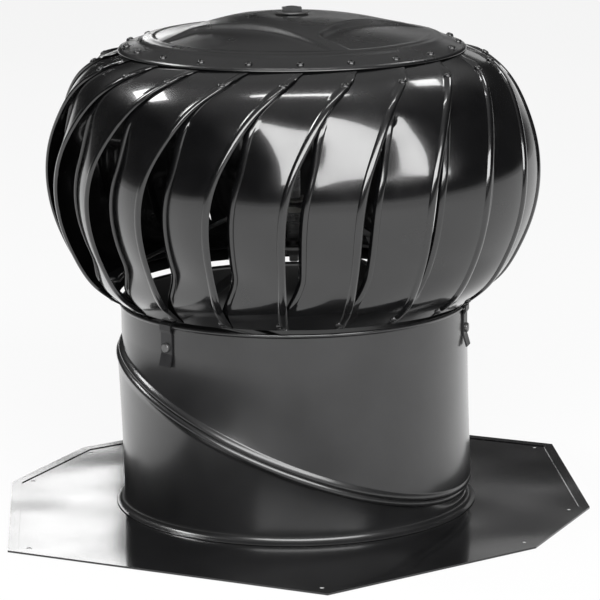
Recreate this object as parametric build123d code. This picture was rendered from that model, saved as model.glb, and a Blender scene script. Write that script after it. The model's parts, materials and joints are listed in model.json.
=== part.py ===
from build123d import *
import math
import os

# Roof turbine ventilator, 305 mm (12 inch) throat, on an adjustable pitch base.
# Origin: centre of the flat underside of the flashing. +Z up, the flashing's long sides face +Y and -Y.

os.makedirs("parts", exist_ok=True)

# ---- driving dimensions (mm, degrees) ----
throat_radius = 152.4  # outer radius of both collars away from the seam
sheet = 0.8  # every formed sheet
strap_thickness = 1.5
moving_gap = 0.5  # sheet to sheet across a joint
running_fit = 0.05  # bearing surfaces, radial

flashing_size = 508.0
short_side_half = 66.0  # half of the sides that face +X and -X
long_side_half = 148.0  # half of the sides that face +Y and -Y
hem_width = 9.0
nail_hole_radius = 2.2
nail_inset = 15.0  # hole centre to the side of the sheet
nail_corner_inset = 12.0  # hole centre back from the corner along the side
neck_height = 9.0  # upturned edge inside the lower collar
foot_width = 7.0  # outturned edge of the lower collar

seam_low_height = 18.874  # height of the tilted swivel seam on its low side
seam_tilt = 22.5
seam_azimuth = 10.5  # direction in which the seam runs down
seam_bead = 2.6  # how far each bead stands out
seam_bead_height = 6.4
lip_height = 3.4  # inner lip of the lower collar, held inside the upper bead
lip_flare = 1.0
seam_to_neck = 11.0  # from the seam's high side to the upper collar's round, upright neck
neck_length = 26.37
rim_bead_radius = 1.7

brace_count = 3
brace_width = 13.0
brace_foot_drop = 36.5  # below the collar's rim
brace_screw_drop = 20.5
brace_foot_flare = 3.0  # the foot leans out over the widening collar
brace_bend_reach = 12.0  # from the rim's outside to the bend where the strap starts to climb
brace_hub_rise = 45.5  # above the rim
brace_hub_radius = 26.0
brace_hub_lip = 3.0
brace_rivet_radius = 18.0  # where the straps are riveted to the hub plate

spindle_radius = 6.0
spindle_foot_length = 14.0  # threaded foot below the hub plate
spindle_thread_radius = 4.0
spindle_shoulder_radius = 8.0

bearing_drop = 25.0  # from the dome's top down to the bearing's lower face
bearing_height = 10.0
inner_race_radius = 9.2
outer_race_radius = 16.0
ball_circle_radius = 11.2
ball_radius = 2.6
ball_count = 8
housing_wall = 2.4
housing_skirt = 4.0  # below the bearing
housing_neck_radius = 5.0
housing_neck_height = 4.2  # above the dome's top
cap_washer_radius = 14.5
cap_washer_thickness = 1.2
cap_nut_radius = 9.6
cap_nut_height = 3.2
cap_nut_crown = 1.3

rotor_clearance = 4.5  # from the collar's rim up to the blade feet
head_height = 246.0  # from the blade feet to the dome's top
ring_height = 10.5
ring_ledge = 11.0
dome_inset = 1.4  # the dome's edge lies inside the throat radius by this
dome_rise = 29.5
dome_edge_height = 1.2
petal_count = 4
petal_depth = 2.6
petal_azimuth = -48.0  # tip of the first petal
petal_outer_radius = 120.0
petal_heel_radius = 86.0
petal_root_radius = 46.0
petal_sweep = 84.0
petal_corner = 4.0

blade_count = 21
blade_azimuth = -66.8  # outer edge of the first blade where the head is widest
blade_overlap = 1.6  # degrees by which neighbours lap at both ends
blade_opening = 3.6  # degrees between neighbours at mid height
blade_inset = 17.5  # depth by which the tucked edge lies inside the outer edge
blade_lap_step = 1.2  # the same at the lapped ends
hem_share = 0.09  # of the blade's width that is folded double at each edge
hem_rise = 0.9  # how far a folded edge stands out
hem_bite = 0.04  # how far the fold's other face stands out
# outer edge of a blade: reach beyond the throat radius, share of the height up to the dome's edge, lean
blade_profile = [
    (6.1, 0.0, 0.0),
    (11.6, 0.0208, 0.0),
    (27.1, 0.0785, 0.0),
    (44.6, 0.1986, 0.0),
    (56.6, 0.3371, 0.0),
    (61.6, 0.4758, 0.4),
    (59.4, 0.6144, 2.2),
    (50.1, 0.7529, 6.2),
    (34.6, 0.8822, 12.2),
    (24.6, 0.9284, 15.9),
    (14.1, 0.9616, 19.1),
    (3.1, 0.9833, 21.6),
    (-5.4, 0.9991, 23.9),
    (-16.4, 1.0184, 27.1),
]
# level slices of a blade, and where its opening and its folded edges run, as shares of the same height
blade_lower_stations = (0.0, 0.0208, 0.0485, 0.0877, 0.1432, 0.2263, 0.3464)
blade_middle_stations = (0.4758, 0.6051, 0.716, 0.8083)
blade_upper_stations = (0.8822, 0.9284, 0.9616, 0.9833, 1.0, 1.0184)
blade_open_shares = (0.0393, 0.1432, 0.7437, 0.873)  # the opening grows and closes between these
tucked_hem_shares = (0.1432, 0.8083)
outer_hem_shares = (0.0208, 0.9833)

spider_count = 3
spider_azimuth = 205.0
spider_width = 14.0
spider_hub_rise = 38.8  # above the brace hub
spider_hub_radius = 24.0
spider_rivet_radius = 18.5
spider_ring_reach = 7.6  # rivets in the ring, outside the throat radius
spider_step = 13.0  # first climb of an arm off the ring
bush_radius = 10.0
bush_flange = 3.0
bush_length = 8.0  # below the hub

screw_radius = 1.9
rivet_radius = 1.6
rivet_head_radius = 3.1
rivet_head_height = 1.3
hole_clearance = 0.05

# ---- derived ----
half_size = flashing_size / 2
throat_inner = throat_radius - sheet
blade_pitch = 360 / blade_count
seam_radius = throat_radius / math.cos(math.radians(seam_tilt))
seam_reach = throat_radius * math.tan(math.radians(seam_tilt))
seam_height = seam_low_height + seam_reach  # where the seam crosses the axis
rim_neck_height = seam_height + seam_reach + seam_to_neck
rim_height = rim_neck_height + neck_length
brace_foot_height = rim_height - brace_foot_drop
brace_screw_height = rim_height - brace_screw_drop
brace_hub_height = rim_height + brace_hub_rise
spider_hub_height = brace_hub_height + spider_hub_rise
spider_ring_radius = throat_radius + spider_ring_reach
rotor_bottom = rim_height + rotor_clearance
ring_top = rotor_bottom + ring_height
dome_apex = rotor_bottom + head_height
dome_radius = throat_radius - dome_inset
bearing_base = dome_apex - bearing_drop
bearing_top = bearing_base + bearing_height
seam_down = Vector(1, 0, 0).rotate(Axis.Y, seam_tilt).rotate(Axis.Z, seam_azimuth)
seam_normal = Vector(0, 0, 1).rotate(Axis.Y, seam_tilt).rotate(Axis.Z, seam_azimuth)
seam_plane = Plane(origin=(0, 0, seam_height), x_dir=seam_down, z_dir=seam_normal)
brace_screw_place = Pos(throat_radius, 0, brace_screw_height) * Rot(0, 90, 0)
spider_ring_place = Pos(spider_ring_radius, 0, ring_top)
dome_sphere = (dome_radius**2 + dome_rise**2) / (2 * dome_rise)


def save(name, shape):
    """One named piece of the assembly."""
    export_step(shape, f"parts/{name}.step")


def turned(points):
    """Ring or disc from a closed (radius, height) outline."""
    outline = Plane.XZ * make_face(Polyline(*points, close=True))
    return revolve(outline, Axis.Z)


def standing(radius, height, base, align=Align.MIN):
    """Upright cylinder whose lower face is at the base height."""
    return Pos(0, 0, base) * Cylinder(radius, height, align=(Align.CENTER, Align.CENTER, align))


def polar(radius, azimuth, height=0.0):
    a = math.radians(azimuth)
    return Vector(radius * math.cos(a), radius * math.sin(a), height)


def strap(centre_line, width, azimuth):
    """Flat strap bent along a (radius, height) centre line, in the radial plane at an azimuth."""
    face = trace(Polyline(*centre_line), line_width=strap_thickness)
    body = extrude(Plane.XZ * face, width / 2, both=True)
    return Rot(0, 0, azimuth) * body


def drilled(shape, radius, places):
    """Round holes through a piece, along the Z axis of each place."""
    return shape - [place * Cylinder(radius + hole_clearance, 16.0) for place in places]


def around_places(count, first, place):
    return [Rot(0, 0, first + i * 360 / count) * place for i in range(count)]


def around(count, first, piece):
    """The same small piece at equal turns, as one group."""
    return Compound([turn * piece for turn in around_places(count, first, Pos(0, 0, 0))])


def rivet(grip):
    """Rivet with its head seat at the origin and the shank running down by the grip."""
    head = standing(rivet_head_radius, rivet_head_height, 0)
    head = chamfer(head.faces().sort_by(Axis.Z)[-1].edges(), rivet_head_height * 0.6)
    shank = standing(rivet_radius, grip, -grip)
    tail = standing(rivet_radius * 1.5, 0.8, -grip - 0.8)
    return head + shank + tail


# ---- flashing ----
def flashing_outline(inset=0.0):
    """Square sheet with its four corners cut off."""
    s = half_size - inset
    short = short_side_half
    long = long_side_half
    cut = math.atan2(half_size - short, half_size - long)
    slip = inset * math.tan((math.pi / 2 - cut) / 2)
    reach = inset * math.tan(cut / 2)
    quarter = [(s, short - slip), (long - reach, s)]
    corners = quarter + [(-x, y) for x, y in reversed(quarter)]
    corners += [(-x, -y) for x, y in corners]
    return make_face(Polyline(*corners, close=True))


def nail_places():
    """Two rectangles of four holes, one by the short sides and one by the long sides."""
    edge = half_size - nail_inset
    by_short = (edge, short_side_half - nail_corner_inset)
    by_long = (long_side_half - nail_corner_inset, edge)
    return [(sx * x, sy * y) for x, y in (by_short, by_long) for sx in (-1, 1) for sy in (-1, 1)]


def flashing_plate():
    plate = extrude(flashing_outline(), sheet)
    hem = extrude(flashing_outline() - flashing_outline(hem_width), 2 * sheet)
    neck_outer = throat_inner
    neck = turned(
        [
            (neck_outer - sheet, 0),
            (neck_outer, 0),
            (neck_outer, neck_height),
            (neck_outer - sheet, neck_height),
        ]
    )
    holes = [Pos(x, y, 0) * Cylinder(nail_hole_radius, 10 * sheet) for x, y in nail_places()]
    opening = Cylinder(neck_outer - sheet, 10 * sheet)
    return plate + hem - opening + neck - holes


# ---- collars and swivel seam ----
def collar_wall(level_height, tilted_shift):
    """Sheet tube from a level circle to the tilted circle, shifted along the seam's axis."""

    def skin(inset):
        level = Plane.XY.offset(level_height).rotated((0, 0, seam_azimuth)) * Circle(throat_radius - inset)
        tilted = seam_plane.offset(tilted_shift) * Circle(seam_radius - inset)
        return loft([level, tilted])

    return skin(0) - skin(sheet)


def seam_ring(points):
    """Ring turned about the seam's own axis, heights counted from the seam plane."""
    return seam_plane.location * turned(points)


def lower_collar():
    foot = turned(
        [
            (throat_inner, sheet),
            (throat_radius + foot_width, sheet),
            (throat_radius + foot_width, 2 * sheet),
            (throat_radius + 2 * sheet, 2 * sheet),
            (throat_radius, 4 * sheet),
            (throat_radius, neck_height),
            (throat_inner, neck_height),
        ]
    )
    wall = collar_wall(neck_height, -seam_bead_height)
    r = seam_radius
    out = r + seam_bead
    bead = seam_ring(
        [
            (r, -seam_bead_height),
            (out, -seam_bead_height + 2.2),
            (out, -1.4),
            (out - 1.2, -moving_gap / 2),
            (r, -moving_gap / 2),
            (r, lip_height - 1.2),
            (r + lip_flare, lip_height),
            (r + lip_flare - sheet, lip_height + 0.3),
            (r - sheet, lip_height - 0.8),
            (r - sheet, -moving_gap / 2 - sheet),
            (out - 1.2, -moving_gap / 2 - sheet),
            (out - sheet, -1.6),
            (out - sheet, -seam_bead_height + 2.5),
            (r - sheet, -seam_bead_height),
        ]
    )
    return foot + wall + bead


def upper_collar():
    r = seam_radius
    out = r + seam_bead
    bead = seam_ring(
        [
            (r - sheet, seam_bead_height),
            (r, seam_bead_height),
            (out, seam_bead_height - 2.2),
            (out, 1.4),
            (out - 1.2, moving_gap / 2),
            (r + moving_gap, moving_gap / 2),
            (r + moving_gap, moving_gap / 2 + sheet),
            (out - 1.2, moving_gap / 2 + sheet),
            (out - sheet, 1.6),
            (out - sheet, seam_bead_height - 2.5),
        ]
    )
    wall = collar_wall(rim_neck_height, seam_bead_height)
    rim_middle = rim_height - rim_bead_radius
    neck = turned(
        [
            (throat_inner, rim_neck_height),
            (throat_radius, rim_neck_height),
            (throat_radius, rim_middle),
            (throat_inner, rim_middle),
        ]
    )
    rim = revolve(Plane.XZ * Pos(throat_radius, rim_middle) * Circle(rim_bead_radius), Axis.Z)
    collar = wall + bead + neck + rim
    return drilled(collar, screw_radius, around_places(brace_count, seam_azimuth, brace_screw_place))


# ---- brace and spindle ----
def brace_leg(azimuth):
    """Strap screwed outside the collar, over its rim and up to the hub plate."""
    flat = throat_radius + strap_thickness / 2 + 0.1
    past_rim = flat + rim_bead_radius
    over = rim_height + strap_thickness / 2
    inner = brace_hub_height - strap_thickness / 2
    line = [
        (flat + brace_foot_flare, brace_foot_height),
        (flat, rim_neck_height + 0.5),
        (flat, rim_height - 8.0),
        (past_rim, rim_height - 5.0),
        (past_rim, over - 1.5),
        (past_rim - 1.5, over),
        (past_rim - brace_bend_reach, over),
        (brace_hub_radius + 6.0, inner),
        (brace_rivet_radius - 7.0, inner),
    ]
    leg = drilled(strap(line, brace_width, 0), screw_radius, [brace_screw_place])
    leg = drilled(leg, rivet_radius, [Pos(brace_rivet_radius, 0, brace_hub_height)])
    return Rot(0, 0, azimuth) * leg


def brace_screws():
    """Pan heads outside the straps, shanks through strap and collar."""
    face = throat_radius + strap_thickness + 0.1
    head = standing(4.2, 2.6, 0)
    head = fillet(head.faces().sort_by(Axis.Z)[-1].edges(), 1.4)
    screw = head + standing(screw_radius, 9.0, -9.0)
    return around(brace_count, seam_azimuth, Pos(face, 0, brace_screw_height) * Rot(0, 90, 0) * screw)


def brace_nuts():
    nut = extrude(RegularPolygon(4.0, 6) - Circle(screw_radius + 0.05), 3.0)
    place = Pos(throat_inner - 3.1, 0, brace_screw_height) * Rot(0, 90, 0)
    return around(brace_count, seam_azimuth, place * nut)


def brace_hub():
    """Dished plate on which the straps and the spindle are fastened."""
    base = brace_hub_height
    plate = turned(
        [
            (spindle_thread_radius + 0.2, base),
            (brace_hub_radius - brace_hub_lip, base),
            (brace_hub_radius, base + brace_hub_lip),
            (brace_hub_radius - 1.0, base + brace_hub_lip + 1.0),
            (brace_hub_radius - brace_hub_lip - 0.6, base + strap_thickness),
            (spindle_thread_radius + 0.2, base + strap_thickness),
        ]
    )
    places = around_places(brace_count, seam_azimuth, Pos(brace_rivet_radius, 0, base))
    return drilled(plate, rivet_radius, places)


def hub_rivets(count, first, radius, seat, grip):
    return around(count, first, Pos(radius, 0, seat) * rivet(grip))


def spindle():
    """Fixed shaft: threaded foot, shoulder on the hub plate, bearing seat and threaded top."""
    seat = brace_hub_height + strap_thickness
    foot = brace_hub_height - spindle_foot_length
    top = bearing_top
    return turned(
        [
            (0, foot),
            (spindle_thread_radius - 0.6, foot),
            (spindle_thread_radius, foot + 0.6),
            (spindle_thread_radius, seat),
            (spindle_shoulder_radius, seat),
            (spindle_shoulder_radius, seat + 4.0),
            (spindle_radius, seat + 6.0),
            (spindle_radius, bearing_base - 5.0),
            (spindle_shoulder_radius, bearing_base - 4.0),
            (spindle_shoulder_radius, bearing_base),
            (spindle_radius, bearing_base),
            (spindle_radius, top + 0.2),
            (spindle_thread_radius, top + 0.2),
            (spindle_thread_radius, top + 6.4),
            (0, top + 7.0),
        ]
    )


def hexagon_nut(across_radius, bore, height, base):
    body = extrude(RegularPolygon(across_radius, 6), height)
    on_base = (Align.CENTER, Align.CENTER, Align.MIN)
    body = body & Cone(across_radius + 2.4, across_radius - 0.4, height, align=on_base)
    return Pos(0, 0, base) * (body - Cylinder(bore, 3 * height))


def washer(radius, bore, thickness, base):
    return turned([(bore, base), (radius, base), (radius, base + thickness), (bore, base + thickness)])


# ---- upper bearing ----
def race(inner, outer):
    """Bearing ring with the ball groove cut from the side that faces the balls."""
    middle = bearing_base + bearing_height / 2
    ring = turned(
        [
            (inner, bearing_base),
            (outer, bearing_base),
            (outer, bearing_top),
            (inner, bearing_top),
        ]
    )
    groove = revolve(Plane.XZ * Pos(ball_circle_radius, middle) * Circle(ball_radius + running_fit), Axis.Z)
    return ring - groove


def bearing_balls():
    middle = bearing_base + bearing_height / 2
    return around(ball_count, 0, Pos(ball_circle_radius, 0, middle) * Sphere(ball_radius))


def bearing_housing():
    """Flanged cup under the dome with a threaded neck through it."""
    top = bearing_top
    roof = dome_apex - 3.2
    bore = outer_race_radius + 0.02
    wall = bore + housing_wall
    neck_top = dome_apex + housing_neck_height
    return turned(
        [
            (bore, bearing_base - housing_skirt),
            (wall, bearing_base - housing_skirt),
            (wall, roof - 2.2),
            (wall + 5.0, roof - 2.2),
            (wall + 5.0, roof - 0.2),
            (housing_neck_radius, roof + 1.6),
            (housing_neck_radius, neck_top),
            (0, neck_top),
            (0, top + 8.4),
            (outer_race_radius - 2.4, top + 8.4),
            (outer_race_radius - 2.4, top + 0.05),
            (bore, top + 0.05),
            (bore, bearing_base - 0.05),
            (bore, bearing_base - 1.4),
        ]
    )


def retaining_ring():
    """Snap ring in the housing's bore that holds the outer race up."""
    ring = washer(outer_race_radius - 0.1, outer_race_radius - 2.6, 1.2, bearing_base - 1.3)
    slot = Pos(outer_race_radius, 0, bearing_base) * Box(12, 6, 8)
    return ring - slot


def cap_nut():
    """Low closed nut on the housing's neck."""
    body = extrude(RegularPolygon(cap_nut_radius, 6), cap_nut_height)
    flat = cap_nut_radius * 0.8
    ball = (flat**2 + cap_nut_crown**2) / (2 * cap_nut_crown)
    top = cap_nut_height + cap_nut_crown
    crown_top = Pos(0, 0, top - ball) * Sphere(ball) & standing(flat, 2 * top, cap_nut_height)
    neck = housing_neck_height - cap_washer_thickness
    hollow = standing(housing_neck_radius + hole_clearance, neck + 0.3, -0.1)
    return Pos(0, 0, dome_apex + cap_washer_thickness + 0.2) * (body + crown_top - hollow)


# ---- dome ----
def crown(depth):
    """Solid under the dome's spherical top, lowered by a depth."""
    ball = Pos(0, 0, dome_apex - dome_sphere) * Sphere(dome_sphere - depth)
    return ball & standing(1.2 * dome_radius, 4 * dome_rise, dome_apex - 3 * dome_rise)


def petal(grow):
    """Pinwheel recess: a tip near the rim, an outer arc and an inner edge that sweeps to the hub."""
    outer = petal_outer_radius + grow
    ahead = math.degrees(grow / petal_outer_radius)
    tip = polar(outer, ahead)
    heel = polar(outer, -petal_sweep - ahead)
    root = polar(petal_root_radius - grow, -petal_sweep - 8.0 - ahead)
    arc = ThreePointArc(tip, polar(outer, -petal_sweep / 2), heel)
    end = ThreePointArc(heel, polar(petal_heel_radius, -petal_sweep - 7.0 - ahead), root)
    bends = [(petal_root_radius + 12.0, -58.0), (petal_heel_radius + 6.0, -24.0)]
    inner = Spline(root, *[polar(radius - grow, turn) for radius, turn in bends], tip)
    prism = extrude(Plane.XY.offset(dome_apex - 2 * dome_rise) * make_face([arc, end, inner]), 4 * dome_rise)
    corners = [e for e in prism.edges().filter_by(Axis.Z) if (e.center() - root).length > 0]
    return fillet(corners, petal_corner + grow)


def dome_cap():
    """Pressed cap: crowned, with petals set into it and its edge turned down."""
    rim_top = dome_apex - dome_rise
    tall = 2 * dome_rise
    body = crown(0) & standing(dome_radius, tall, rim_top - dome_edge_height)
    hollow = crown(sheet) & standing(dome_radius - sheet, tall, rim_top - dome_edge_height - 1)
    for i in range(petal_count):
        turn = Rot(0, 0, petal_azimuth + i * 360 / petal_count)
        body -= turn * petal(0) - crown(petal_depth)
        hollow -= turn * petal(sheet) - crown(petal_depth + sheet)
    return body - hollow - standing(housing_neck_radius + 0.1, 2 * dome_rise, dome_apex - dome_rise)


# ---- blades ----
def head_level(share):
    """Height at a share of the way from the blade feet up to the dome's edge."""
    return rotor_bottom + share * (head_height - dome_rise)


outline_points = [(throat_radius + reach, lean, head_level(share)) for reach, share, lean in blade_profile]
outline_path = Spline(*outline_points)


def ease(value, low, high):
    """Smooth step from 0 at the low value to 1 at the high one."""
    t = min(1.0, max(0.0, (value - low) / (high - low)))
    return t * t * (3 - 2 * t)


def share_at(height):
    """Share of the outline's length at which it reaches a height."""
    low, high = 0.0, 1.0
    for _ in range(24):
        middle = (low + high) / 2
        low, high = (middle, high) if (outline_path @ middle).Z < height else (low, middle)
    return low


def blade_section(along, across, rise):
    """Level slice of a blade between two shares of its width, thickened by a front and a back rise."""
    station = outline_path @ along
    run = outline_path % along
    slant = math.hypot(run.X, run.Z) / run.Z  # level width of one unit of thickness
    low_start, low_end, high_start, high_end = [head_level(share) for share in blade_open_shares]
    opened = ease(station.Z, low_start, low_end) * (1 - ease(station.Z, high_start, high_end))
    gap = blade_opening * opened - blade_overlap * (1 - opened)
    inset = blade_inset * opened + blade_lap_step * (1 - opened)

    def at(share, depth):
        sink = inset * max(0.0, 1 - share) ** 1.35 + depth
        azimuth = station.Y - (blade_pitch - gap) * (1 - share)
        return polar(station.X - sink * slant, azimuth, station.Z)

    left, right = across
    shares = [left + (right - left) * i / 4 for i in range(5)]
    face = Spline(*[at(share, -rise[0]) for share in shares])
    back = Spline(*[at(share, sheet + rise[1]) for share in reversed(shares)])
    ends = [Line(face @ 1, back @ 0), Line(back @ 1, face @ 0)]
    return make_face([face, ends[0], back, ends[1]])


def blade_layer(ends, across, rise):
    """Level slices between two shares of the height, joined by a ruled loft."""
    low, high = ends
    every = blade_lower_stations + blade_middle_stations + blade_upper_stations
    stations = [share for share in every if low <= share <= high]
    return loft([blade_section(share_at(head_level(share)), across, rise) for share in stations], ruled=True)


def blade():
    """Curved vane: a thin skin with both long edges folded double where they stand free."""
    skin = blade_layer((0, blade_upper_stations[-1]), (0, 1), (0, 0))
    tucked = blade_layer(tucked_hem_shares, (-0.012, hem_share), (hem_rise, hem_bite))
    outer = blade_layer(outer_hem_shares, (1 - hem_share, 1.012), (hem_rise, hem_bite))
    return skin + tucked + outer


# ---- rotor ring and spider ----
def bottom_ring():
    """Flared hoop inside the blade feet, with a ledge for the spider arms."""
    outer = []
    for level in blade_lower_stations[:3]:
        share = share_at(head_level(level))
        station, run = outline_path @ share, outline_path % share
        back = (blade_lap_step + sheet + 0.45) * math.hypot(run.X, run.Z) / run.Z
        outer.append((station.X - back, station.Z))
    inner = [(r - 1.3 * sheet, z) for r, z in reversed(outer[:-1])]
    ledge = outer[-1][0] - ring_ledge
    under = ring_top - sheet
    hoop = turned(outer + [(ledge, ring_top), (ledge, under), (outer[-1][0] - 3 * sheet, under)] + inner)
    return drilled(hoop, rivet_radius, around_places(spider_count, spider_azimuth, spider_ring_place))


def spider_arm(azimuth):
    """Strap from the ring's ledge up to the spider hub."""
    ledge = ring_top + strap_thickness / 2
    inner = spider_hub_height - strap_thickness / 2
    line = [
        (spider_ring_radius + 2.6, ledge),
        (spider_ring_radius - 7.0, ledge),
        (spider_ring_radius - 17.0, ledge + spider_step),
        (spider_hub_radius + 5.0, inner),
        (spider_rivet_radius - 6.0, inner),
    ]
    arm = strap(line, spider_width, 0)
    arm = drilled(arm, rivet_radius, [Pos(spider_rivet_radius, 0, spider_hub_height), spider_ring_place])
    return Rot(0, 0, azimuth) * arm


def spider_hub():
    plate = washer(spider_hub_radius, bush_radius, strap_thickness, spider_hub_height)
    places = around_places(spider_count, spider_azimuth, Pos(spider_rivet_radius, 0, spider_hub_height))
    return drilled(plate, rivet_radius, places)


def lower_bush():
    """Flanged sleeve that steadies the head on the spindle."""
    base = spider_hub_height
    return turned(
        [
            (spindle_radius + running_fit, base - bush_length),
            (bush_radius - 0.02, base - bush_length),
            (bush_radius - 0.02, base + strap_thickness),
            (bush_radius + bush_flange, base + strap_thickness),
            (bush_radius + bush_flange, base + strap_thickness + 1.6),
            (spindle_radius + running_fit, base + strap_thickness + 1.6),
        ]
    )


save("flashing_plate", flashing_plate())
save("lower_collar", lower_collar())
save("upper_collar", upper_collar())
for i in range(brace_count):
    save(f"brace_leg_{i + 1}", brace_leg(seam_azimuth + i * 360 / brace_count))
save("brace_screws", brace_screws())
save("brace_nuts", brace_nuts())
save("brace_hub", brace_hub())
grip = 2 * strap_thickness
brace_rivet_seat = brace_hub_height + strap_thickness
brace_rivets = hub_rivets(brace_count, seam_azimuth, brace_rivet_radius, brace_rivet_seat, grip)
save("brace_hub_rivets", brace_rivets)
save("spindle", spindle())
save("spindle_foot_nut", hexagon_nut(7.5, spindle_thread_radius, 6.0, brace_hub_height - strap_thickness - 6.0))
save("spindle_top_nut", hexagon_nut(6.6, spindle_thread_radius, 4.0, bearing_top + 0.4))
save("inner_race", race(spindle_radius, inner_race_radius))
save("outer_race", race(2 * ball_circle_radius - inner_race_radius, outer_race_radius))
save("bearing_balls", bearing_balls())
save("bearing_housing", bearing_housing())
save("retaining_ring", retaining_ring())
save("dome_cap", dome_cap())
save("cap_washer", washer(cap_washer_radius, housing_neck_radius + 0.1, cap_washer_thickness, dome_apex + 0.1))
save("cap_nut", cap_nut())
first_blade = blade()
for i in range(blade_count):
    save(f"blade_{i + 1:02d}", Rot(0, 0, blade_azimuth + i * blade_pitch) * first_blade)
save("bottom_ring", bottom_ring())
for i in range(spider_count):
    save(f"spider_arm_{i + 1}", spider_arm(spider_azimuth + i * 360 / spider_count))
save("spider_hub", spider_hub())
spider_rivet_seat = spider_hub_height + strap_thickness
hub_set = hub_rivets(spider_count, spider_azimuth, spider_rivet_radius, spider_rivet_seat, grip)
save("spider_hub_rivets", hub_set)
ledge_seat = ring_top + strap_thickness
ring_grip = strap_thickness + sheet
ring_set = hub_rivets(spider_count, spider_azimuth, spider_ring_radius, ledge_seat, ring_grip)
save("spider_ring_rivets", ring_set)
save("lower_bush", lower_bush())
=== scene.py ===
import json
import math

import bmesh
import bpy
import numpy as np
from mathutils import Matrix, Vector, noise

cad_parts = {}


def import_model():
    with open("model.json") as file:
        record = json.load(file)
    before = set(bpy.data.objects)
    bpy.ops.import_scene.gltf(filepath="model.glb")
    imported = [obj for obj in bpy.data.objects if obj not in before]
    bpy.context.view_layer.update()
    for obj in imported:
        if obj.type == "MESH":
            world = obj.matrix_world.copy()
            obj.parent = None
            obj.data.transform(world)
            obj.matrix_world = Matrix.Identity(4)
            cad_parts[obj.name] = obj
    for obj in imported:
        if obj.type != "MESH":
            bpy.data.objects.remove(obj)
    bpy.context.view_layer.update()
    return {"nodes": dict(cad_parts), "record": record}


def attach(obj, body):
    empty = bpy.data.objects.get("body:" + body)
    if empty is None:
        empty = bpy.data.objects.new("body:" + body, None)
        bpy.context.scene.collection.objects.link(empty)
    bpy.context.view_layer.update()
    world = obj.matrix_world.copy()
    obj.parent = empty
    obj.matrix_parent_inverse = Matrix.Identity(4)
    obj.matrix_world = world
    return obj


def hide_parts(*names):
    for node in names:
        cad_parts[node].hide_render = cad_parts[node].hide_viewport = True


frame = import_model()

# ---- sizes of the part, in millimetres and degrees ----
MM = 0.001
THROAT = 152.4
SHEET = 0.8
INNER_WALL = THROAT - SHEET
SMOOTH_ANGLE = 38
SEAM_TILT = 22.5
SEAM_AZIMUTH = 10.5
SEAM_HEIGHT = 82.0
SEAM_RADIUS = THROAT / math.cos(math.radians(SEAM_TILT))
NECK_HEIGHT = 156.13
RIM_HEIGHT = 182.5
RIM_BEAD = 1.7
FOOT = 187.0
SIDE_HEIGHT = 216.5
DOME_APEX = 433.0
DOME_RADIUS = 151.0
DOME_RISE = 29.5
DOME_SPHERE = (DOME_RADIUS**2 + DOME_RISE**2) / (2 * DOME_RISE)
PETALS = 4
PETAL_AZIMUTH = -48.0
PETAL_RADIUS = 120
PETAL_HEEL = -83
BLADES = 21
PITCH = 360 / BLADES
FIRST_BLADE = -66.8
OPEN_FROM = (0.012, 0.24)  # shares of the side's height over which the slot opens
OPEN_TO = (0.60, 0.93)  # and over which it closes again
SLOT_GAP = 3.6  # degrees between neighbours where the slot is open
CLOSED_GAP = -1.6  # and where they lap
SLOT_INSET = 13.0  # depth of the tucked edge behind the outer one where the slot is open
CLOSED_INSET = 1.2  # and where they lap
TUCK_POWER = 1.35
HEM = 0.12  # share of a blade's width that is folded over
HEM_OVER = 0.012
HEM_NOSE = 0.02
HEM_RISE = 1.75
WAVE = 0.22  # unevenness of a blade's sheet
TUCKED_HEM = (206, 218, 358, 368)  # heights at which a hem starts, is full, is still full and ends
OUTER_HEM = (186, 191, 397, 400.5)
# outer edge of a blade: radius past the throat, share of the side's height, lean
PROFILE = np.array([
    (6.1, 0.0, 0.0), (11.6, 0.0208, 0.0), (27.1, 0.0785, 0.0), (44.6, 0.1986, 0.0), (56.6, 0.3371, 0.0),
    (61.6, 0.4758, 0.4), (59.4, 0.6144, 2.2), (50.1, 0.7529, 6.2), (34.6, 0.8822, 12.2), (24.6, 0.9284, 15.9),
    (14.1, 0.9616, 19.1), (3.1, 0.9833, 21.6), (-5.4, 0.9991, 23.9), (-16.4, 1.0184, 27.1)])
PROFILE = np.column_stack([THROAT + PROFILE[:, 0], FOOT + SIDE_HEIGHT * PROFILE[:, 1], PROFILE[:, 2]])


# ---- mesh helpers ----
def link(name, verts, faces):
    """A mesh object from millimetre points, its faces turned outwards."""
    mesh = bpy.data.meshes.new(name)
    mesh.from_pydata([tuple(v) for v in np.asarray(verts, float) * MM], [], faces)
    form = bmesh.new()
    form.from_mesh(mesh)
    bmesh.ops.recalc_face_normals(form, faces=form.faces)
    form.to_mesh(mesh)
    form.free()
    mesh.update()
    mesh.shade_smooth()
    mesh.set_sharp_from_angle(angle=math.radians(SMOOTH_ANGLE))
    ob = bpy.data.objects.new(name, mesh)
    bpy.context.scene.collection.objects.link(ob)
    return ob


def grid_faces(rows, columns, close_rows, close_columns, offset=0):
    """Quads of a grid whose point (i, j) has the number offset + i * columns + j."""
    faces = []
    for i in range(rows if close_rows else rows - 1):
        a, b = i * columns + offset, ((i + 1) % rows) * columns + offset
        for j in range(columns if close_columns else columns - 1):
            k = (j + 1) % columns
            faces.append((a + j, a + k, b + k, b + j))
    return faces


def ease(value, low, high):
    """0 at low, 1 at high, smooth between; low may be the greater."""
    t = np.clip((np.asarray(value, float) - low) / (high - low), 0, 1)
    return t * t * (3 - 2 * t)


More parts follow.
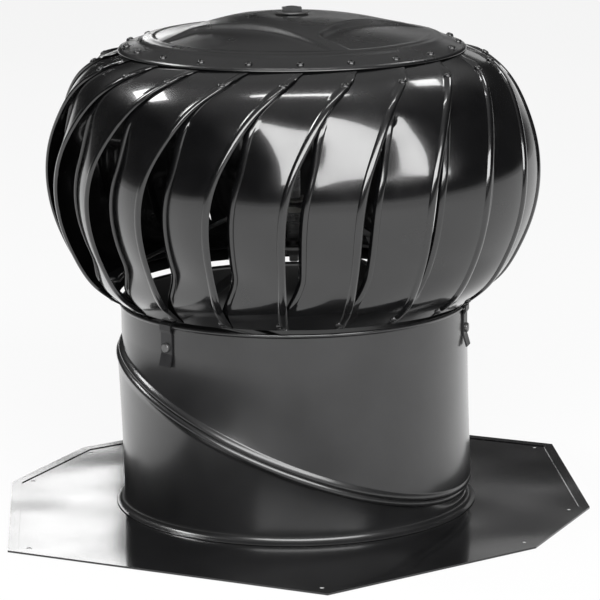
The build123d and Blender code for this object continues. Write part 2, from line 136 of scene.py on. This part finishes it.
def spline(points, shares):
    """Natural cubic spline through the rows of points, at shares of its length."""
    points = np.asarray(points, float)
    steps = np.linalg.norm(np.diff(points, axis=0), axis=1)
    knots = np.concatenate([[0], np.cumsum(steps)])
    n = len(points)
    system, right = np.eye(n), np.zeros_like(points)
    for i in range(1, n - 1):
        system[i, i - 1:i + 2] = steps[i - 1], 2 * (steps[i - 1] + steps[i]), steps[i]
        right[i] = 6 * ((points[i + 1] - points[i]) / steps[i] - (points[i] - points[i - 1]) / steps[i - 1])
    bend = np.linalg.solve(system, right)
    at = np.asarray(shares) * knots[-1]
    k = np.clip(np.searchsorted(knots, at, side="right") - 1, 0, n - 2)
    h = steps[k]
    a, b = ((knots[k + 1] - at) / h)[:, None], ((at - knots[k]) / h)[:, None]
    h = h[:, None]
    return (a * points[k] + b * points[k + 1]
            + ((a**3 - a) * bend[k] + (b**3 - b) * bend[k + 1]) * h**2 / 6)


def place_turned(profile, places, segments):
    """One turned profile, capped at its ends, set at several matrices."""
    verts, faces = [], []
    turns = np.linspace(0, 2 * math.pi, segments, endpoint=False)
    base = [(r * math.cos(t), r * math.sin(t), z) for r, z in profile for t in turns]
    for place in places:
        start = len(verts)
        verts += [tuple(place @ Vector(p)) for p in base]
        faces += grid_faces(len(profile), segments, False, True, start)
        last = start + (len(profile) - 1) * segments
        faces.append(tuple(start + i for i in reversed(range(segments))))
        faces.append(tuple(last + i for i in range(segments)))
    return verts, faces


# ---- blades ----
def blade_stations(count=66):
    """Radius, height, lean and slant of the outer edge at the level rows."""
    shares = np.linspace(0, 1, count)
    path = spline(PROFILE, shares)
    run = np.gradient(path, axis=0)
    slant = np.hypot(run[:, 0], run[:, 1]) / run[:, 1]
    return path[:, 0], path[:, 1], path[:, 2], slant


RADIUS, HEIGHT, LEAN, SLANT = blade_stations()
OPENED = (ease(HEIGHT, *[FOOT + share * SIDE_HEIGHT for share in OPEN_FROM])
          * (1 - ease(HEIGHT, *[FOOT + share * SIDE_HEIGHT for share in OPEN_TO])))
GAP = SLOT_GAP * OPENED + CLOSED_GAP * (1 - OPENED)
INSET = SLOT_INSET * OPENED + CLOSED_INSET * (1 - OPENED)


def blade_point(row, share, depth):
    """Point of a blade at one of the level rows, a share of its width and a depth under its face."""
    sink = INSET[row] * max(0.0, 1 - share) ** TUCK_POWER + depth
    radius = RADIUS[row] - sink * SLANT[row]
    a = math.radians(LEAN[row] - (PITCH - GAP[row]) * (1 - share))
    return radius * math.cos(a), radius * math.sin(a), HEIGHT[row]


def hem_round(share, tucked, outer):
    """Height of the two folded edges above the sheet at a share of the width."""
    rise = 0.0
    for edge, size in ((share, tucked), (1 - share, outer)):
        u = (edge + HEM_OVER) / (HEM + HEM_OVER)
        if 0 < u < 1:
            rise = max(rise, size * math.sqrt(1 - (2 * u - 1) ** 2))
    return rise


def hem_size(z, heights):
    """How far a folded edge stands out at a height."""
    start, full, still_full, end = heights
    return HEM_RISE * float(ease(z, start, full) * (1 - ease(z, still_full, end)))


def blade(index):
    """One blade: face and back of the sheet with both hems, row by row, capped at its ends."""
    shares = np.concatenate([
        np.linspace(-HEM_OVER, HEM, 12), np.linspace(HEM + 0.05, 1 - HEM - 0.05, 14),
        np.linspace(1 - HEM, 1 + HEM_OVER, 12)])
    turn = math.radians(FIRST_BLADE + index * PITCH)
    cos, sin = math.cos(turn), math.sin(turn)
    rows = len(RADIUS)
    verts = []
    for row in range(rows):
        z = HEIGHT[row]
        tucked, outer = hem_size(z, TUCKED_HEM), hem_size(z, OUTER_HEM)
        front, back = [], []
        for share in shares:
            rise = hem_round(share, tucked, outer)
            wave = WAVE * noise.noise(Vector((share * 1.6 + index * 3.7, z * 0.018, 0.3 * index)))
            wave *= min(1.0, 6 * max(0.0, min(share, 1 - share))) * float(OPENED[row] * 0.7 + 0.3)
            front.append(blade_point(row, share, wave - rise))
            back.append(blade_point(row, share, SHEET + wave + 0.06 * rise))
        ends = [blade_point(row, 1 + HEM_NOSE, SHEET / 2), blade_point(row, -HEM_NOSE, SHEET / 2)]
        loop = front + [ends[0]] + back[::-1] + [ends[1]]
        verts += [(x * cos - y * sin, x * sin + y * cos, h) for x, y, h in loop]
    n = len(shares)
    size = 2 * n + 2
    faces = grid_faces(rows, size, False, True)
    for start, flip in ((0, False), ((rows - 1) * size, True)):
        cap = []
        for j in range(n - 1):
            cap.append((start + j, start + 2 * n - j, start + 2 * n - j - 1, start + j + 1))
        cap.append((start + n - 1, start + n + 1, start + n))
        cap.append((start, start + 2 * n + 1, start + 2 * n))
        faces += [tuple(reversed(f)) if flip else f for f in cap]
    return link(f"blade_skin_{index + 1:02d}", verts, faces)


# ---- finishes ----
GRAIN_SCALE = 900.0


def finish(name, colour, rough, metal=0.0, ior=1.5, coat=0.0, coat_rough=0.1, mottle=0.25, mottle_scale=60.0,
           grain=0.0, wave=0.0, wave_scale=9.0, rough_swing=0.08, stretch=(1, 1, 1)):
    """Painted or bare surface: mottled colour and gloss, a fine grain and slow waves in the sheet."""
    material = bpy.data.materials.new(name)
    material.use_nodes = True
    tree = material.node_tree
    nodes, links = tree.nodes, tree.links
    shader = nodes["Principled BSDF"]
    shader.inputs["Metallic"].default_value = metal
    shader.inputs["IOR"].default_value = ior
    shader.inputs["Coat Weight"].default_value = coat
    shader.inputs["Coat Roughness"].default_value = coat_rough
    coords = nodes.new("ShaderNodeTexCoord")
    mapping = nodes.new("ShaderNodeMapping")
    mapping.inputs["Scale"].default_value = stretch
    links.new(coords.outputs["Object"], mapping.inputs["Vector"])

    def noise_node(scale, detail):
        node = nodes.new("ShaderNodeTexNoise")
        node.inputs["Scale"].default_value = scale
        node.inputs["Detail"].default_value = detail
        node.inputs["Roughness"].default_value = 0.55
        links.new(mapping.outputs["Vector"], node.inputs["Vector"])
        return node

    cloud = noise_node(mottle_scale, 4.0)
    ramp = nodes.new("ShaderNodeValToRGB")
    for stop, position, factor in zip(ramp.color_ramp.elements, (0.3, 0.7), (1 - mottle, 1 + mottle)):
        stop.position = position
        stop.color = (*[c * factor for c in colour], 1)
    links.new(cloud.outputs["Fac"], ramp.inputs["Fac"])
    links.new(ramp.outputs["Color"], shader.inputs["Base Color"])

    smudge = noise_node(mottle_scale * 0.35, 3.0)
    span = nodes.new("ShaderNodeMapRange")
    span.inputs["From Min"].default_value = 0.25
    span.inputs["From Max"].default_value = 0.75
    span.inputs["To Min"].default_value = max(0.02, rough - rough_swing)
    span.inputs["To Max"].default_value = rough + rough_swing
    links.new(smudge.outputs["Fac"], span.inputs["Value"])
    links.new(span.outputs["Result"], shader.inputs["Roughness"])

    normal = None
    for height, scale, detail in ((grain, GRAIN_SCALE, 2.0), (wave, wave_scale, 1.0)):
        if height:
            bump = nodes.new("ShaderNodeBump")
            bump.inputs["Distance"].default_value = height * MM
            bump.inputs["Strength"].default_value = 1.0
            links.new(noise_node(scale, detail).outputs["Fac"], bump.inputs["Height"])
            if normal is not None:
                links.new(normal, bump.inputs["Normal"])
            normal = bump.outputs["Normal"]
    if normal is not None:
        links.new(normal, shader.inputs["Normal"])
        links.new(normal, shader.inputs["Coat Normal"])
    return material


FINISHES = {
    "blade_paint": finish("blade_paint", (0.0035, 0.0035, 0.0038), 0.22, ior=1.5, coat=1.0, coat_rough=0.05,
                          grain=0.012, wave=0.25, wave_scale=14.0),
    "dome_paint": finish("dome_paint", (0.004, 0.004, 0.0043), 0.30, ior=1.5, coat=0.8, coat_rough=0.24,
                         grain=0.02, wave=0.3, wave_scale=10.0),
    "collar_paint": finish("collar_paint", (0.012, 0.012, 0.0125), 0.34, ior=1.5, coat=0.8, coat_rough=0.17,
                           grain=0.02, wave=0.25, wave_scale=9.0, mottle_scale=25.0),
    "flashing_paint": finish("flashing_paint", (0.010, 0.010, 0.0105), 0.17, ior=1.5, coat=0.4,
                             coat_rough=0.06, rough_swing=0.05, grain=0.015, wave=2.4, wave_scale=6.0,
                             mottle_scale=20.0),
    "leg_paint": finish("leg_paint", (0.016, 0.016, 0.017), 0.4, grain=0.02),
    "ring_paint": finish("ring_paint", (0.012, 0.012, 0.013), 0.34, ior=1.55, coat=0.6, coat_rough=0.15,
                         grain=0.02),
    "cap_nut_paint": finish("cap_nut_paint", (0.03, 0.03, 0.031), 0.34, ior=1.6, coat=0.5, grain=0.02),
    # dark steel, darkened further so the parts seen through the slots inside the head read black: partly its
    # own tone, partly painted shade
    "strap_steel": finish("strap_steel", (0.04, 0.04, 0.04), 0.42, metal=0.6, grain=0.02, stretch=(1, 1, 6)),
    "zinc_screw": finish("zinc_screw", (0.16, 0.16, 0.16), 0.36, metal=0.7, grain=0.01),
    "rivet_metal": finish("rivet_metal", (0.20, 0.20, 0.20), 0.34, metal=0.7, grain=0.01),
    "shaft_steel": finish("shaft_steel", (0.20, 0.20, 0.20), 0.30, metal=1.0, grain=0.01, stretch=(1, 1, 8)),
    "bearing_steel": finish("bearing_steel", (0.6, 0.6, 0.6), 0.15, metal=1.0, grain=0.004),
    "bush_plastic": finish("bush_plastic", (0.6, 0.6, 0.56), 0.5, mottle=0.05, grain=0.01),
}
slot_of = {part["node"]: part["material_slot"] for part in frame["record"]["subparts"]}
for name, node in frame["nodes"].items():
    node.data.materials.clear()
    node.data.materials.append(FINISHES[slot_of[name]])


def dress(ob, body, slot, *nodes):
    """Gives a new piece its finish and body, and says which CAD nodes it stands for."""
    ob.data.materials.append(FINISHES[slot])
    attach(ob, body)
    if nodes:
        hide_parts(*nodes)


for i in range(BLADES):
    dress(blade(i), "rotor", "blade_paint", f"blade_{i + 1:02d}")


# ---- dome ----
def petal_outline():
    """Closed outline of the first pressed petal, as x and y."""
    outer = [(PETAL_RADIUS * math.cos(math.radians(a)), PETAL_RADIUS * math.sin(math.radians(a)))
             for a in np.linspace(0, PETAL_HEEL, 40)]
    heel = spline([outer[-1], (5, -101), (-2, -86), (3.5, -75)], np.linspace(0, 1, 18))[1:]
    inner = spline([(3.5, -75), (23.6, -53), (54.4, -29.8), (86.3, -14.9), (PETAL_RADIUS, 0)],
                   np.linspace(0, 1, 40))[1:-1]
    return np.array(outer + [tuple(p) for p in heel] + [tuple(p) for p in inner])


def inside_depth(x, y, outline):
    """Distance to a closed outline, positive inside it."""
    a, b = outline, np.roll(outline, -1, axis=0)
    px, py = x[..., None], y[..., None]
    ex, ey = b[:, 0] - a[:, 0], b[:, 1] - a[:, 1]
    t = np.clip(((px - a[:, 0]) * ex + (py - a[:, 1]) * ey) / (ex**2 + ey**2), 0, 1)
    gap = np.hypot(px - a[:, 0] - t * ex, py - a[:, 1] - t * ey).min(axis=-1)
    level_at = ex * (py - a[:, 1]) / np.where(ey == 0, 1e-9, ey) + a[:, 0]
    crosses = ((a[:, 1] > py) != (b[:, 1] > py)) & (px < level_at)
    return np.where(crosses.sum(axis=-1) % 2 == 1, gap, -gap)


def dome_height(r):
    """Height of the plain dome at a radius."""
    return DOME_APEX - DOME_SPHERE + np.sqrt(DOME_SPHERE**2 - r**2)


PETAL_DEPTH = 4.4  # added near the nut, running out towards the rim
PETAL_EDGE_DEPTH = 0.2
PETAL_RUN = (122, 62)  # radius at which it has run out, and over what length
PETAL_WALL = 0.78  # rise over run of the pressed wall
CREASE = 0.35  # roundness of the wall's foot and top
MARGIN_LINE = (129.0, 2.2, 0.9)  # radius, half width and height of the line inside the riveted margin
NUT_SEAT = (15, 34, 0.8)  # radii and depth of the pressed seat of the nut
DOME_COLUMNS = 504
DOME_BORE = 5.2


def dome():
    """The pressed dome, with its thickness, turned-down edge and bore."""
    turns = np.linspace(0, 2 * math.pi, DOME_COLUMNS, endpoint=False)
    outline = petal_outline()

    def pressed(radii, drop):
        r, t = np.meshgrid(radii, turns, indexing="ij")
        z = dome_height(r)
        for i in range(PETALS):
            a = t - math.radians(PETAL_AZIMUTH + i * 360 / PETALS)
            inside = inside_depth(r * np.cos(a), r * np.sin(a), outline)
            deep = PETAL_EDGE_DEPTH + PETAL_DEPTH * np.clip((PETAL_RUN[0] - r) / PETAL_RUN[1], 0, 1) ** 0.7
            wall = PETAL_WALL * np.logaddexp(0, inside / CREASE) * CREASE
            z = z + CREASE * np.logaddexp(-deep / CREASE, -wall / CREASE)
        z = z + MARGIN_LINE[2] * np.exp(-((r - MARGIN_LINE[0]) / MARGIN_LINE[1]) ** 2)
        z = z - NUT_SEAT[2] * (1 - ease(r, NUT_SEAT[0], NUT_SEAT[1])) - drop
        return [np.stack([ring * np.cos(turns), ring * np.sin(turns), level], axis=1)
                for ring, level in zip(r, z)]

    top = np.concatenate([
        np.linspace(DOME_BORE, 40, 12, endpoint=False), np.linspace(40, 126, 84, endpoint=False),
        np.linspace(126, DOME_RADIUS - 1.2, 14)])
    edge_z = DOME_APEX - DOME_RISE
    edge = [np.stack([(DOME_RADIUS - back) * np.cos(turns), (DOME_RADIUS - back) * np.sin(turns),
                      np.full(DOME_COLUMNS, edge_z - down)], axis=1)
            for back, down in ((0.35, 0.1), (0, 0.6), (0, 1.1), (0.4, 1.2), (0.8, 1.1))]
    loops = pressed(top, 0) + edge + pressed(np.linspace(DOME_RADIUS - 1.6, DOME_BORE, 34), SHEET + 0.05)
    return link("dome_pressing", np.concatenate(loops), grid_faces(len(loops), DOME_COLUMNS, True, True))


dress(dome(), "rotor", "dome_paint", "dome_cap")


# ---- rivets of the head ----
def blade_frame(index, row, share, lift):
    """Matrix that stands a rivet on a blade's face."""
    def point(r, s):
        return Vector(blade_point(r, s, -lift))
    p = point(row, share)
    along, up = point(row, share + 0.03) - p, point(row + 1, share) - p
    normal = along.cross(up).normalized()
    if normal.x * p.x + normal.y * p.y < 0:
        normal.negate()
    turn = Matrix.Rotation(math.radians(FIRST_BLADE + index * PITCH), 4, "Z")
    return turn @ Matrix.Translation(p) @ normal.to_track_quat("Z", "Y").to_matrix().to_4x4()


RIVET_PROFILE = [(0.3, 1.45), (0.95, 1.5), (1.1, 1.95), (1.5, 1.95), (2.4, 1.65), (3.15, 1.1), (3.5, 0.5),
                 (3.5, -0.3)]
MARGIN_RIVET = (143.5, 22.0, 1.5)  # radius, azimuth past the blade's, stretch of the taller heads
LAP_RIVET = (394, 0.93, 0.9)  # height, share of the blade's width, lift onto the hem
FOOT_RIVET = (193.5, 0.90, 0.1)


def head_rivets():
    """Rivets of the dome's margin and of the blades' upper laps and feet."""
    places = []
    r, past, stretch = MARGIN_RIVET
    for i in range(BLADES):
        a = math.radians(FIRST_BLADE + i * PITCH + past)
        lean = Matrix.Rotation(math.asin(r / DOME_SPHERE), 4, Vector((-math.sin(a), math.cos(a), 0)))
        seat = Matrix.Translation((r * math.cos(a), r * math.sin(a), float(dome_height(r))))
        places.append(seat @ lean @ Matrix.Diagonal((1.0, 1.0, stretch, 1.0)))
        for height, share, lift in (LAP_RIVET, FOOT_RIVET):
            places.append(blade_frame(i, int(np.argmin(abs(HEIGHT - height))), share, lift))
    return link("head_rivets", *place_turned(RIVET_PROFILE, places, 18))


dress(head_rivets(), "rotor", "dome_paint")


# ---- collars ----
def seam_frame():
    """The seam's slanted axes: down its slope, level, and square to it."""
    tilt = Matrix.Rotation(math.radians(SEAM_TILT), 3, "Y")
    turn = Matrix.Rotation(math.radians(SEAM_AZIMUTH), 3, "Z") @ tilt
    return [np.array(turn @ Vector(axis)) for axis in ((1, 0, 0), (0, 1, 0), (0, 0, 1))]


RING_COLUMNS = 288
WALL_STEPS = (0.1, 0.2, 0.3, 0.4, 0.5, 0.6, 0.7, 0.8, 0.9, 0.95)


def warped_ring(name, profile):
    """Ring through circles that are level or lie along the seam, its wall curving in between."""
    down, side, normal = seam_frame()
    turns = np.linspace(0, 2 * math.pi, RING_COLUMNS, endpoint=False)
    level_turn = turns + math.radians(SEAM_AZIMUTH)
    rows = []
    for kind, r, h in profile:
        if kind == "level":
            level = np.full(RING_COLUMNS, h)
            rows.append(np.stack([r * np.cos(level_turn), r * np.sin(level_turn), level], axis=1))
        else:
            rows.append(np.outer(r * np.cos(turns), down) + np.outer(r * np.sin(turns), side)
                        + h * normal + np.array([0, 0, SEAM_HEIGHT]))
    full = []
    for i, row in enumerate(rows):
        after = rows[(i + 1) % len(rows)]
        full.append(row)
        if profile[i][0] != profile[(i + 1) % len(rows)][0]:
            for s in WALL_STEPS:
                inward = s**1.5 if profile[i][0] == "level" else 1 - (1 - s)**1.5
                full.append(row + (after - row) * np.array([inward, inward, s]))
    return link(name, np.concatenate(full), grid_faces(len(full), RING_COLUMNS, True, True))


def seam_circles(points):
    """Circles of the seam, from how far each lies outside its radius and how high along its axis."""
    return [("seam", SEAM_RADIUS + out, height) for out, height in points]


def bead_back(middle):
    """Inner side of a bead."""
    return seam_circles([(1.9 * math.sin(a) - 0.6, middle - 2.1 * math.cos(a))
                         for a in np.linspace(math.pi - 0.3, 0.3, 7)])


BEAD_MIDDLE = 3.4
BEAD_END = 6.9
WALL_MIDDLE = 165.0
WALL_TOP = 178.6
NECK = 9.0
FOOT_FLANGE = [(INNER_WALL, 0.85), (159.0, 0.85), (159.5, 1.3), (159.0, 1.8), (156.4, 1.95), (154.9, 2.5),
               (153.7, 3.6), (152.8, 5.2), (152.45, 7.0), (THROAT, NECK)]
lower_profile = (
    [("level", r, z) for r, z in FOOT_FLANGE]
    + seam_circles([(0, -BEAD_END), (0.6, -6.4), (1.5, -5.7), (2.2, -4.9), (2.5, -4.1), (2.5, -3.4),
                    (2.25, -2.6), (1.8, -1.8), (1.2, -1.0), (0.4, -0.3), (0, -0.3), (0, 2.2), (0.9, 3.3),
                    (0.3, 3.7), (-SHEET, 2.6), (-SHEET, -1.1)])
    + bead_back(-BEAD_MIDDLE)
    + seam_circles([(-SHEET, -BEAD_END)]) + [("level", INNER_WALL, NECK)])
upper_profile = (
    seam_circles([(0.5, 0.3), (1.5, 0.6), (2.2, 1.1), (2.55, 1.8), (2.5, 2.5), (2.2, 3.3), (1.8, 4.1),
                  (1.3, 4.9), (0.75, 5.6), (0.25, 6.2), (0, BEAD_END)])
    + [("level", THROAT, z) for z in (NECK_HEIGHT, WALL_MIDDLE, WALL_TOP)]
    + [("level", THROAT + RIM_BEAD * math.cos(a), RIM_HEIGHT - RIM_BEAD + RIM_BEAD * math.sin(a))
       for a in np.linspace(-1.2, math.pi + 0.9, 14)]
    + [("level", INNER_WALL, WALL_TOP), ("level", INNER_WALL, NECK_HEIGHT)]
    + seam_circles([(-SHEET, BEAD_END)]) + bead_back(BEAD_MIDDLE) + seam_circles([(0.5, 1.1)]))
dress(warped_ring("lower_collar_wall", lower_profile), "base", "collar_paint", "lower_collar")
dress(warped_ring("upper_collar_wall", upper_profile), "swivel", "collar_paint", "upper_collar")

# ---- camera ----
VIEW_AZIMUTH = 25.3
VIEW_ROLL = -0.48
VIEW_PLACE = (0.00507, -2.6546, 0.7524)
VIEW_LOOK = (0.0, 0.9775, -0.2112)
camera_data = bpy.data.cameras.new("camera")
camera_data.lens = 184.96
camera_data.sensor_width = 36.0
camera_data.clip_end = 100.0
camera = bpy.data.objects.new("camera", camera_data)
bpy.context.scene.collection.objects.link(camera)
turn = Matrix.Rotation(math.radians(VIEW_AZIMUTH), 4, "Z")
place, look = turn @ Vector(VIEW_PLACE), turn @ Vector(VIEW_LOOK)
aim = look.to_track_quat("-Z", "Y").to_matrix().to_4x4()
camera.matrix_world = Matrix.Translation(place) @ aim @ Matrix.Rotation(math.radians(VIEW_ROLL), 4, "Z")
bpy.context.scene.camera = camera


# ---- floor and light ----
FLOOR_SPAN = 24.0
FLOOR_DROP = 0.0004
FLOOR_GLOW = 0.88  # share of the floor seen or mirrored as plain white


def math_node(nodes, links, operation, first, second):
    """A Math node of two inputs, each a socket or a number."""
    node = nodes.new("ShaderNodeMath")
    node.operation = operation
    for socket, value in zip(node.inputs, (first, second)):
        if isinstance(value, float):
            socket.default_value = value
        else:
            links.new(value, socket)
    return node.outputs[0]


def floor():
    """White floor that keeps some of the object's shadow."""
    mesh = bpy.data.meshes.new("floor")
    corners = [(-FLOOR_SPAN, -FLOOR_SPAN, 0), (FLOOR_SPAN, -FLOOR_SPAN, 0),
               (FLOOR_SPAN, FLOOR_SPAN, 0), (-FLOOR_SPAN, FLOOR_SPAN, 0)]
    mesh.from_pydata(corners, [], [(0, 1, 2, 3)])
    ob = bpy.data.objects.new("floor", mesh)
    bpy.context.scene.collection.objects.link(ob)
    ob.location.z = -FLOOR_DROP
    material = bpy.data.materials.new("floor_white")
    material.use_nodes = True
    nodes, links = material.node_tree.nodes, material.node_tree.links
    nodes.clear()
    diffuse = nodes.new("ShaderNodeBsdfDiffuse")
    diffuse.inputs["Color"].default_value = (0.85, 0.85, 0.85, 1)
    glow = nodes.new("ShaderNodeEmission")
    glow.inputs["Strength"].default_value = 1.0
    path = nodes.new("ShaderNodeLightPath").outputs
    seen_or_mirrored = math_node(nodes, links, "MAXIMUM", path["Is Camera Ray"], path["Is Glossy Ray"])
    background = math_node(nodes, links, "MAXIMUM", seen_or_mirrored, path["Is Transmission Ray"])
    mix = nodes.new("ShaderNodeMixShader")
    links.new(math_node(nodes, links, "MULTIPLY", background, FLOOR_GLOW), mix.inputs["Fac"])
    links.new(diffuse.outputs[0], mix.inputs[1])
    links.new(glow.outputs[0], mix.inputs[2])
    links.new(mix.outputs[0], nodes.new("ShaderNodeOutputMaterial").inputs["Surface"])
    mesh.materials.append(material)


def world():
    """Dim studio, dark from just above the floor, with a paler wall behind the object."""
    w = bpy.data.worlds.new("studio")
    bpy.context.scene.world = w
    w.use_nodes = True
    nodes, links = w.node_tree.nodes, w.node_tree.links
    coords = nodes.new("ShaderNodeTexCoord")
    split = nodes.new("ShaderNodeSeparateXYZ")
    ramp = nodes.new("ShaderNodeValToRGB")
    links.new(coords.outputs["Generated"], split.inputs[0])
    links.new(split.outputs["Z"], ramp.inputs["Fac"])
    elements = ramp.color_ramp.elements
    elements[0].color = (0.6, 0.6, 0.6, 1)
    elements[1].color = (0.4, 0.4, 0.4, 1)
    for position, level in ((0.02, 0.5), (0.06, 0.02), (0.5, 0.02), (0.7, 0.1)):
        elements.new(position).color = (level, level, level, 1)
    a = math.radians(90 + VIEW_AZIMUTH)
    behind = nodes.new("ShaderNodeVectorMath")
    behind.operation = "DOT_PRODUCT"
    behind.inputs[1].default_value = (math.cos(a), math.sin(a), 0)
    links.new(coords.outputs["Generated"], behind.inputs[0])
    parts = []
    for source, low, high, top in ((behind.outputs["Value"], 0.45, 0.85, 0.15),
                                   (split.outputs["Z"], 0.34, 0.52, 1.0)):
        span = nodes.new("ShaderNodeMapRange")
        span.interpolation_type = "SMOOTHSTEP"
        span.inputs["From Min"].default_value = low
        span.inputs["From Max"].default_value = high
        span.inputs["To Max"].default_value = top
        links.new(source, span.inputs["Value"])
        parts.append(span.outputs["Result"])
    wall = math_node(nodes, links, "MULTIPLY", *parts)
    level = math_node(nodes, links, "ADD", ramp.outputs["Color"], wall)
    links.new(level, nodes["Background"].inputs["Color"])
    nodes["Background"].inputs["Strength"].default_value = 1.0


LIT_POINT = Vector((0, 0, 0.25))


def softbox(name, azimuth, elevation, distance, width, height, radiance):
    """Area lamp that faces the object; azimuth 0 is the camera's side, and positive is to its right."""
    light = bpy.data.lights.new(name, "AREA")
    light.shape = "RECTANGLE"
    light.size = width
    light.size_y = height
    light.energy = radiance * math.pi * width * height
    a = math.radians(azimuth - 90 + VIEW_AZIMUTH)
    e = math.radians(elevation)
    direction = Vector((math.cos(a) * math.cos(e), math.sin(a) * math.cos(e), math.sin(e)))
    ob = bpy.data.objects.new(name, light)
    ob.location = LIT_POINT + direction * distance
    ob.rotation_euler = direction.to_track_quat("Z", "Y").to_euler()
    bpy.context.scene.collection.objects.link(ob)


floor()
world()
# azimuth, elevation, distance, width, height and radiance of each lamp
softbox("key", 9, 32, 2.4, 3.2, 1.0, 9.0)
softbox("overhead", 0, 88, 2.5, 1.2, 0.15, 15.0)
softbox("left_high", -112, 46, 2.4, 0.7, 0.42, 15.0)
softbox("right_spot", 131, 52, 2.4, 0.4, 0.36, 9.0)
softbox("left_back", 189, 13, 3.0, 0.26, 0.30, 4.5)
softbox("low_back", 171, 15, 3.0, 1.0, 0.3, 0.6)
bpy.context.scene.view_settings.view_transform = "Standard"
